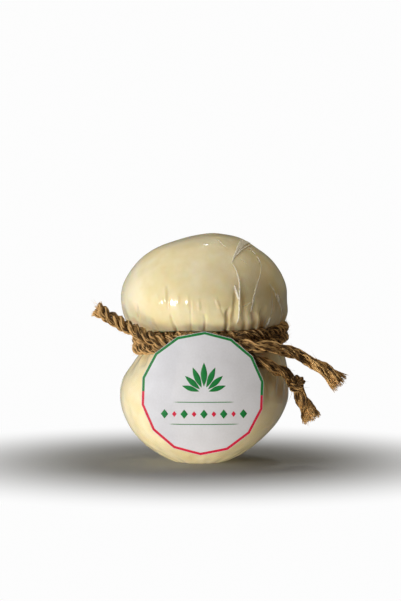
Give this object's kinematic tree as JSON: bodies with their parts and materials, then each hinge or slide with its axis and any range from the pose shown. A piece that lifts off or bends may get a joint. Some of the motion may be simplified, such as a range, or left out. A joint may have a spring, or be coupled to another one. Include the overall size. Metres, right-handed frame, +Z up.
{
  "type": "scamorza cheese",
  "caption": "Pear-shaped stretched-curd cheese in clear film, with jute twine tied round its neck and a many-sided paper label on its belly.",
  "frame": {"origin": "middle of the round flat spot that the cheese stands on", "axes": "+Z up through the neck to the crown, -Y towards the label, +X to the right as the label is read"},
  "size_m": [0.1081, 0.0751, 0.1003],
  "materials": {
    "film_wrapped_curd": "cream curd under tight, clear, glossy film",
    "jute": "rough laid jute twine, frayed at its cut ends",
    "label_card": "smooth white paper with a green and red edge line"
  },
  "bodies": {
    "root": {"cheese": "film_wrapped_curd", "twine_tie": "jute", "twine_left_end": "jute", "twine_upper_end": "jute", "twine_lower_end": "jute", "twine_end_knot": "jute", "twine_lower_tuft": "jute", "label": "label_card"}
  },
  "joints": []
}
